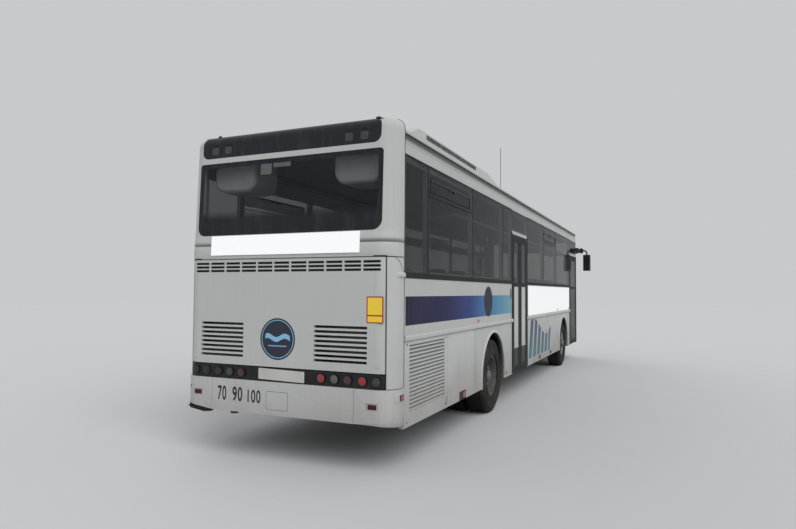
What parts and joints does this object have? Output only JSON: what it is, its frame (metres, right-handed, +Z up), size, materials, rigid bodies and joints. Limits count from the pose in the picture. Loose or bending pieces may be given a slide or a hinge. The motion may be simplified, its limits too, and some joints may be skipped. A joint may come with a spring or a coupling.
{
  "type": "intercity bus",
  "caption": "White twelve-metre intercity bus with a single front door, a double middle door, twin rear wheels, roof air conditioner and louvred rear engine hatch.",
  "frame": {"origin": "on the road, under the middle of the overall box", "axes": "+X forward, +Y to the bus's left, +Z up"},
  "size_m": [12.12, 3.205, 4.19],
  "materials": {
    "white_paint": "glossy white coach paint, dusty low down",
    "dark_glass": "tinted safety glass",
    "clear_glass": "lightly tinted safety glass",
    "black_rubber": "satin rubber profile",
    "black_plastic": "satin moulded plastic",
    "lamp_black": "gloss lamp carrier",
    "lamp_clear": "clear lamp cover",
    "tyre_rubber": "road worn tyre",
    "rim_paint": "silver grey wheel paint",
    "chassis_paint": "dusty black chassis paint",
    "axle_iron": "dark casting",
    "seat_fabric": "woven dark blue cloth",
    "floor_covering": "grey floor sheet",
    "trim_grey": "grained grey lining"
  },
  "bodies": {
    "coach_body": {"chassis_frame": "chassis_paint", "floor_deck": "floor_covering", "rear_floor": "floor_covering", "wheel_boxes": "floor_covering", "stairwells": "floor_covering", "engine_block": "axle_iron", "exhaust": "axle_iron", "rear_axle": "axle_iron", "front_axle": "axle_iron", "side_wall_right": "white_paint", "side_wall_left": "white_paint", "side_windows": "dark_glass", "roof_panel": "white_paint", "air_conditioner": "white_paint", "roof_aerial": "black_plastic", "rear_cap": "white_paint", "rear_window": "dark_glass", "rear_bumper": "white_paint", "tail_lamps": "lamp_black", "marker_lamps": "lamp_clear", "wipers": "black_plastic", "front_cap": "white_paint", "windscreen": "clear_glass", "front_bumper": "white_paint", "headlamps": "lamp_clear", "outside_mirrors": "black_plastic", "seat_cushions": "seat_fabric", "seat_backs": "seat_fabric", "dashboard": "black_plastic", "luggage_racks": "trim_grey", "luggage_hold": "chassis_paint", "route_display": "black_plastic"},
    "engine_hatch": {"engine_hatch": "white_paint"},
    "radiator_door": {"radiator_door": "white_paint"},
    "service_door": {"service_door": "white_paint"},
    "luggage_door_right": {"luggage_door_right": "white_paint"},
    "luggage_door_left": {"luggage_door_left": "white_paint"},
    "front_door_arm": {"front_door_arm": "black_plastic"},
    "front_door": {"front_door_leaf": "white_paint", "front_door_glass": "dark_glass"},
    "mid_door_rear_arm": {"mid_door_rear_arm": "black_plastic"},
    "mid_door_rear": {"mid_door_rear_leaf": "white_paint", "mid_door_rear_glass": "dark_glass"},
    "mid_door_front_arm": {"mid_door_front_arm": "black_plastic"},
    "mid_door_front": {"mid_door_front_leaf": "white_paint", "mid_door_front_glass": "dark_glass"},
    "front_knuckle_right": {"front_knuckle_right": "axle_iron"},
    "front_knuckle_left": {"front_knuckle_left": "axle_iron"},
    "front_wheel_right": {"front_rim_right": "rim_paint", "front_tyre_right": "tyre_rubber"},
    "front_wheel_left": {"front_rim_left": "rim_paint", "front_tyre_left": "tyre_rubber"},
    "rear_wheels_right": {"rear_rims_right": "rim_paint", "rear_tyres_right": "tyre_rubber"},
    "rear_wheels_left": {"rear_rims_left": "rim_paint", "rear_tyres_left": "tyre_rubber"}
  },
  "joints": [
    {"name": "engine_hatch_hinge", "type": "hinge", "parent": "coach_body", "child": "engine_hatch", "pos_m": [-6.042, 0, 2.055], "axis": [0, 1, 0], "range_deg": [0, 80]},
    {"name": "radiator_door_hinge", "type": "hinge", "parent": "coach_body", "child": "radiator_door", "pos_m": [-5.181, -1.253, 1.233], "axis": [-1, 0, 0], "range_deg": [0, 80]},
    {"name": "service_door_hinge", "type": "hinge", "parent": "coach_body", "child": "service_door", "pos_m": [-4.043, -1.253, 1.233], "axis": [-1, 0, 0], "range_deg": [0, 80]},
    {"name": "luggage_door_right_hinge", "type": "hinge", "parent": "coach_body", "child": "luggage_door_right", "pos_m": [1.54, -1.253, 1.233], "axis": [-1, 0, 0], "range_deg": [0, 80]},
    {"name": "luggage_door_left_hinge", "type": "hinge", "parent": "coach_body", "child": "luggage_door_left", "pos_m": [1.34, 1.253, 1.233], "axis": [1, 0, 0], "range_deg": [0, 80]},
    {"name": "front_door_arm_turn", "type": "hinge", "parent": "coach_body", "child": "front_door_arm", "pos_m": [4.683, -1.187, 1], "axis": [0, 0, -1], "range_deg": [0, 120]},
    {"name": "front_door_leaf_turn", "type": "hinge", "parent": "front_door_arm", "child": "front_door", "pos_m": [5.203, -1.187, 1], "axis": [0, 0, 1], "range_deg": [0, 120]},
    {"name": "mid_door_rear_arm_turn", "type": "hinge", "parent": "coach_body", "child": "mid_door_rear_arm", "pos_m": [-1.372, -1.187, 1], "axis": [0, 0, -1], "range_deg": [0, 120]},
    {"name": "mid_door_rear_leaf_turn", "type": "hinge", "parent": "mid_door_rear_arm", "child": "mid_door_rear", "pos_m": [-1.072, -1.187, 1], "axis": [0, 0, 1], "range_deg": [0, 120]},
    {"name": "mid_door_front_arm_turn", "type": "hinge", "parent": "coach_body", "child": "mid_door_front_arm", "pos_m": [-0.438, -1.187, 1], "axis": [0, 0, 1], "range_deg": [0, 120]},
    {"name": "mid_door_front_leaf_turn", "type": "hinge", "parent": "mid_door_front_arm", "child": "mid_door_front", "pos_m": [-0.738, -1.187, 1], "axis": [0, 0, -1], "range_deg": [0, 120]},
    {"name": "steering_left", "type": "hinge", "parent": "coach_body", "child": "front_knuckle_left", "pos_m": [3.62, 0.88, 0.522], "axis": [0, 0, 1], "range_deg": [-38, 38]},
    {"name": "front_spin_left", "type": "hinge", "parent": "front_knuckle_left", "child": "front_wheel_left", "pos_m": [3.62, 1.081, 0.522], "axis": [0, 1, 0], "continuous": true},
    {"name": "rear_spin_left", "type": "hinge", "parent": "coach_body", "child": "rear_wheels_left", "pos_m": [-2.58, 0.9185, 0.522], "axis": [0, 1, 0], "continuous": true},
    {"name": "steering_right", "type": "hinge", "parent": "coach_body", "child": "front_knuckle_right", "pos_m": [3.62, -0.88, 0.522], "axis": [0, 0, 1], "range_deg": [-38, 38]},
    {"name": "front_spin_right", "type": "hinge", "parent": "front_knuckle_right", "child": "front_wheel_right", "pos_m": [3.62, -1.081, 0.522], "axis": [0, 1, 0], "continuous": true},
    {"name": "rear_spin_right", "type": "hinge", "parent": "coach_body", "child": "rear_wheels_right", "pos_m": [-2.58, -0.9185, 0.522], "axis": [0, 1, 0], "continuous": true}
  ],
  "couplings": [
    {"joint": "steering_right", "follows": "steering_left", "ratio": 1},
    {"joint": "front_door_leaf_turn", "follows": "front_door_arm_turn", "ratio": 1},
    {"joint": "mid_door_rear_leaf_turn", "follows": "mid_door_rear_arm_turn", "ratio": 1},
    {"joint": "mid_door_front_arm_turn", "follows": "mid_door_rear_arm_turn", "ratio": 1},
    {"joint": "mid_door_front_leaf_turn", "follows": "mid_door_rear_arm_turn", "ratio": 1}
  ]
}
